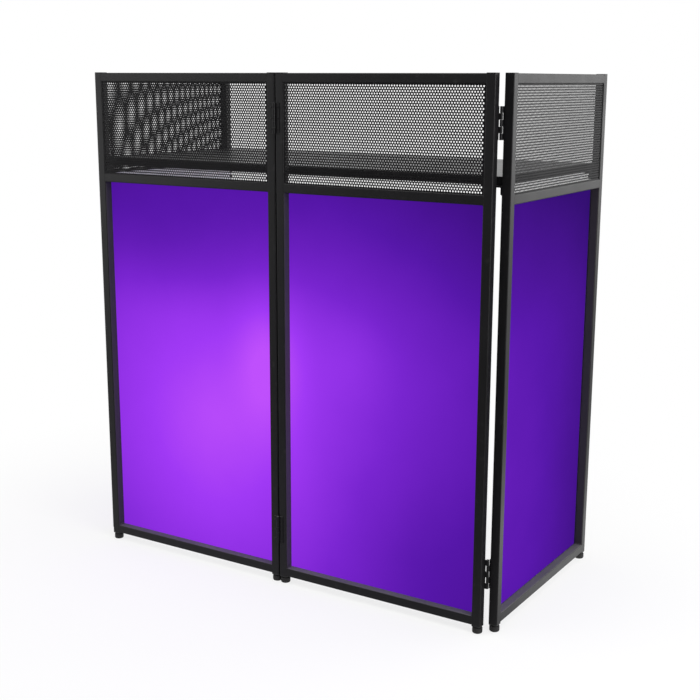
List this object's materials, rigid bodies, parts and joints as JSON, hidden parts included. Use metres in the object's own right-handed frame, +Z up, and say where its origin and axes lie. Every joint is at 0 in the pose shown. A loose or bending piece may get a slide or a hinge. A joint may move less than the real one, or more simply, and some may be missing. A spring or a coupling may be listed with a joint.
{
  "type": "dj booth",
  "caption": "Folding DJ booth of hinged square-tube panels with perforated upper windows, lit fabric scrims below and a lift-off table board, open at the back.",
  "frame": {"origin": "bottom centre of the bounding box, on the floor under the feet", "axes": "+Z up, the front panels face -Y, +X to the right as seen from the front"},
  "size_m": [1.089, 0.5346, 1.157],
  "materials": {
    "powder_coat": "fine-textured satin black powder coat on steel tube and sheet",
    "perforated_sheet": "satin black powder coat on perforated steel sheet",
    "scrim_fabric": "stretched translucent fabric glowing purple from a lamp behind it",
    "hook_and_loop": "black hook-and-loop tape",
    "foot_rubber": "matt black rubber",
    "plug_plastic": "matt black moulded plastic",
    "pin_steel": "plain steel pin, darkened",
    "table_laminate": "satin black laminate on board",
    "edge_band": "black plastic edge banding"
  },
  "bodies": {
    "front_left": {"front_left_frame": "powder_coat", "front_left_mesh_sheet": "perforated_sheet", "front_left_scrim": "scrim_fabric", "front_left_scrim_tape": "hook_and_loop", "front_left_foot_inserts": "plug_plastic", "front_left_feet": "foot_rubber", "front_left_post_caps": "plug_plastic", "seam_upper_leaf_front_left": "powder_coat", "left_corner_upper_leaf_front_left": "powder_coat", "seam_lower_leaf_front_left": "powder_coat", "left_corner_lower_leaf_front_left": "powder_coat"},
    "front_right": {"front_right_frame": "powder_coat", "front_right_mesh_sheet": "perforated_sheet", "front_right_scrim": "scrim_fabric", "front_right_scrim_tape": "hook_and_loop", "front_right_foot_inserts": "plug_plastic", "front_right_feet": "foot_rubber", "front_right_post_caps": "plug_plastic", "seam_upper_leaf_front_right": "powder_coat", "seam_upper_pin": "pin_steel", "right_corner_upper_leaf_front_right": "powder_coat", "seam_lower_leaf_front_right": "powder_coat", "seam_lower_pin": "pin_steel", "right_corner_lower_leaf_front_right": "powder_coat"},
    "left_side": {"left_side_frame": "powder_coat", "left_side_mesh_sheet": "perforated_sheet", "left_side_scrim": "scrim_fabric", "left_side_scrim_tape": "hook_and_loop", "left_side_foot_inserts": "plug_plastic", "left_side_feet": "foot_rubber", "left_side_post_caps": "plug_plastic", "left_corner_upper_leaf_left_side": "powder_coat", "left_corner_upper_pin": "pin_steel", "left_corner_lower_leaf_left_side": "powder_coat", "left_corner_lower_pin": "pin_steel", "left_front_table_bracket": "powder_coat", "left_rear_table_bracket": "powder_coat"},
    "right_side": {"right_side_frame": "powder_coat", "right_side_mesh_sheet": "perforated_sheet", "right_side_scrim": "scrim_fabric", "right_side_scrim_tape": "hook_and_loop", "right_side_foot_inserts": "plug_plastic", "right_side_feet": "foot_rubber", "right_side_post_caps": "plug_plastic", "right_corner_upper_leaf_right_side": "powder_coat", "right_corner_upper_pin": "pin_steel", "right_corner_lower_leaf_right_side": "powder_coat", "right_corner_lower_pin": "pin_steel", "right_front_table_bracket": "powder_coat", "right_rear_table_bracket": "powder_coat"},
    "table": {"table_board": "table_laminate", "table_edge_band": "edge_band"}
  },
  "joints": [
    {"name": "left_fold", "type": "hinge", "parent": "front_left", "child": "left_side", "pos_m": [-0.52, -0.23725, 0.6], "axis": [0, 0, 1], "range_deg": [0, 90]},
    {"name": "seam_fold", "type": "hinge", "parent": "front_left", "child": "front_right", "pos_m": [0, -0.26425, 0.6], "axis": [0, 0, -1], "range_deg": [0, 180]},
    {"name": "right_fold", "type": "hinge", "parent": "front_right", "child": "right_side", "pos_m": [0.52, -0.23725, 0.6], "axis": [0, 0, -1], "range_deg": [0, 90]},
    {"name": "table_lift", "type": "slide", "parent": "front_left", "child": "table", "axis": [0, 0, 1], "range_m": [0, 0.3]}
  ]
}
